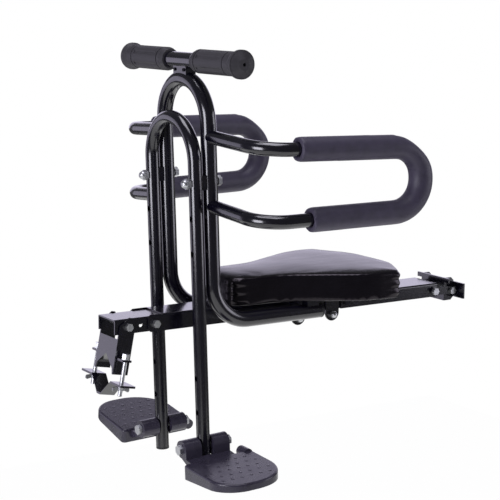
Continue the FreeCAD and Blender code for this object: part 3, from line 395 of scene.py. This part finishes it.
def drawBend(work):
    for vert in work.verts:
        along, rise = vert.co.x - bendSet["place"][0] * mm, vert.co.z - bendSet["place"][1] * mm
        angle = math.atan2(rise, along)
        weight = math.exp(-((math.degrees(angle) - bendSet["angle"]) / bendSet["spread"]) ** 2)
        out = (math.hypot(along, rise) - bendSet["middle"]) / bendSet["wall"]
        if along > 0 and out > 0:
            inward = bendSet["thin"] * weight * min(1, out)
            vert.co -= Vector((math.cos(angle), 0, math.sin(angle))) * inward


def makeFoam(side):
    piece = softCopy(side + "FoamSleeve", side + "_foam")
    remesh(piece, foamSet["voxel"])
    work = bmesh.new()
    work.from_mesh(piece.data)
    relax(work, work.verts, foamSet["smooths"])
    drawBend(work)
    work.to_mesh(piece.data)
    work.free()
    dress(piece, foamSkin, "frame", "foam", side + "_foam")
    subdivide(piece)
    print(side, "foam:", len(piece.data.vertices), "points")


# Low moulded studs on the treads, laid out in the pedal's own millimetres before it is turned and hung
studSet = {"rows": 6, "columns": 5, "first": (-36, 46), "pitch": (15, 16), "top": (-11.6, -0.0366),
           "inner": 26.8, "across": 6, "rise": 0.35, "edge": 0.8, "segments": 14, "pivot": (-23, 59, -187),
           "lean": 2.27, "raised": {"left": 0, "right": 10}, "origin": (-461, 0, 17)}


def makeStuds(side, sign):
    piece = bpy.data.objects.new(side + "TreadStuds", bpy.data.meshes.new(side + "TreadStuds"))
    scene.collection.objects.link(piece)
    work = bmesh.new()
    x, y, z = studSet["pivot"]
    hang = (Matrix.Scale(mm, 4) @ Matrix.Translation(studSet["origin"])
            @ Matrix.Rotation(-math.radians(studSet["lean"]), 4, "Y") @ Matrix.Translation((x, sign * y, z))
            @ Matrix.Rotation(math.radians(sign * studSet["raised"][side]), 4, "X"))
    start, slope = studSet["top"]
    for row in range(studSet["rows"]):
        for column in range(studSet["columns"]):
            shift = studSet["pitch"][0] / 2 * (column % 2)
            along = studSet["first"][0] + studSet["pitch"][0] * row + shift
            out = studSet["first"][1] + studSet["pitch"][1] * column
            level = start + slope * (out - studSet["inner"])
            flat = (Matrix.Translation((along, sign * out, level))
                    @ Matrix.Rotation(sign * math.atan(slope), 4, "X"))
            bmesh.ops.create_cone(work, cap_ends=True, segments=studSet["segments"],
                                  radius1=studSet["across"] / 2,
                                  radius2=studSet["across"] / 2 - studSet["edge"],
                                  depth=studSet["rise"] * 2, matrix=hang @ flat)
    work.to_mesh(piece.data)
    work.free()
    dress(piece, nylon, side + "_pedal", "pedal_plastic")
    print(side, "studs:", studSet["rows"] * studSet["columns"])


makeCushion()
for side, sign in (("left", -1), ("right", 1)):
    makeFoam(side)
    makeStuds(side, sign)

# The seat hangs at its height on a bicycle, so the floor is well below it
stageSet = {"floor": 1.8, "centre": -0.3, "drop": 800 * mm, "colour": "#f4f4f4", "shadow": 0.02, "room": 0.2,
            "mirrored": 0.1}


def paleFloor():
    floor = bpy.data.objects.new("floor", bpy.data.meshes.new("floor"))
    scene.collection.objects.link(floor)
    work = bmesh.new()
    bmesh.ops.create_grid(work, x_segments=1, y_segments=1, size=stageSet["floor"])
    bmesh.ops.translate(work, verts=work.verts, vec=(stageSet["centre"], 0, -stageSet["drop"]))
    work.to_mesh(floor.data)
    work.free()
    material, tree = newMaterial("paleFloor")
    path = addNode(tree, "ShaderNodeLightPath")
    seen = addNode(tree, "ShaderNodeMath",
                   {0: path.outputs["Is Camera Ray"], 1: path.outputs["Is Glossy Ray"]},
                   operation="MAXIMUM")
    seen = addNode(tree, "ShaderNodeMath", {0: seen.outputs[0], 1: path.outputs["Is Transmission Ray"]},
                   operation="MAXIMUM")
    share = addNode(tree, "ShaderNodeMath",
                    {0: seen.outputs[0], 1: 1 - stageSet["shadow"]}, operation="MULTIPLY")
    matt = addNode(tree, "ShaderNodeBsdfDiffuse", {"Color": linear(stageSet["colour"])})
    white = addNode(tree, "ShaderNodeEmission", {"Color": (1, 1, 1, 1), "Strength": 1})
    both = addNode(tree, "ShaderNodeMixShader",
                   {0: share.outputs[0], 1: matt.outputs[0], 2: white.outputs[0]})
    addNode(tree, "ShaderNodeOutputMaterial", {"Surface": both.outputs[0]})
    floor.data.materials.append(material)


# White to the camera, and a plain dim level to light the seat and to show in its paint
def paleRoom():
    world = bpy.data.worlds.new("paleRoom")
    world.use_nodes = True
    scene.world = world
    tree = world.node_tree
    tree.nodes.clear()
    path = addNode(tree, "ShaderNodeLightPath")
    seen = addNode(tree, "ShaderNodeMath",
                   {0: path.outputs["Is Camera Ray"], 1: path.outputs["Is Transmission Ray"]},
                   operation="MAXIMUM")
    gloss = addNode(tree, "ShaderNodeMath", {0: path.outputs["Is Glossy Ray"], 1: stageSet["mirrored"]},
                    operation="MULTIPLY")
    fill = addNode(tree, "ShaderNodeMath", {0: path.outputs["Is Diffuse Ray"], 1: stageSet["room"],
                                            2: gloss.outputs[0]}, operation="MULTIPLY_ADD")
    level = addNode(tree, "ShaderNodeMath", {0: seen.outputs[0], 1: fill.outputs[0]}, operation="MAXIMUM")
    air = addNode(tree, "ShaderNodeBackground", {"Color": (1, 1, 1, 1), "Strength": level.outputs[0]})
    addNode(tree, "ShaderNodeOutputWorld", {"Surface": air.outputs[0]})


# Radiance is watts over pi and the lamp's area
lampSet = {
    "key": {"place": (-2.27, -0.55, 0.25), "size": (0.9, 1.1), "watts": 26, "colour": "#f4f3ff"},
    "side": {"place": (1.36, -1.03, 0.25), "size": (1.1, 1.1), "watts": 10, "colour": "#f3f1ff"},
    "back": {"place": (1.5, 2.7, 0.75), "size": (5.0, 1.7), "watts": 28, "colour": "#ebe5ff"},
    "left": {"place": (-2.0, 2.5, 0.1), "size": (1.5, 1.75), "watts": 8.8, "colour": "#ebe5ff"},
    "top": {"place": (-0.5, -0.1, 2.6), "size": (1.8, 1.8), "watts": 46, "colour": "#f4f2ff"},
}
lampAim = (-0.35, 0, 0.08)


def softLamp(name, settings):
    lamp = bpy.data.lights.new(name, "AREA")
    lamp.shape = "RECTANGLE"
    lamp.size, lamp.size_y = settings["size"]
    lamp.energy = settings["watts"]
    lamp.color = linear(settings["colour"])[:3]
    holder = bpy.data.objects.new(name, lamp)
    scene.collection.objects.link(holder)
    place = Vector(settings["place"])
    aim = Vector(lampAim) - place
    holder.matrix_world = Matrix.Translation(place) @ aim.to_track_quat("-Z", "Y").to_matrix().to_4x4()


paleFloor()
paleRoom()
for name, settings in lampSet.items():
    softLamp(name, settings)
print("stage and lamps set")

cameraSet = {"place": (-1541.9, -1815.7, 454.2), "azimuth": -32.99, "elevation": 9.57, "roll": 0.54,
             "lens": 108.93, "sensor": 36}


def photoCamera():
    camera = bpy.data.cameras.new("photoCamera")
    camera.lens = cameraSet["lens"]
    camera.sensor_width = cameraSet["sensor"]
    holder = bpy.data.objects.new("photoCamera", camera)
    scene.collection.objects.link(holder)
    azimuth, elevation, roll = (math.radians(cameraSet[key]) for key in ("azimuth", "elevation", "roll"))
    back = Vector((math.sin(azimuth) * math.cos(elevation), -math.cos(azimuth) * math.cos(elevation),
                   math.sin(elevation)))
    right = Vector((math.cos(azimuth), math.sin(azimuth), 0))
    up = back.cross(right)
    across = right * math.cos(roll) + up * math.sin(roll)
    upward = up * math.cos(roll) - right * math.sin(roll)
    turn = Matrix((across, upward, back)).transposed().to_4x4()
    holder.matrix_world = Matrix.Translation(Vector(cameraSet["place"]) * mm) @ turn
    scene.camera = holder


photoCamera()
print("camera set")
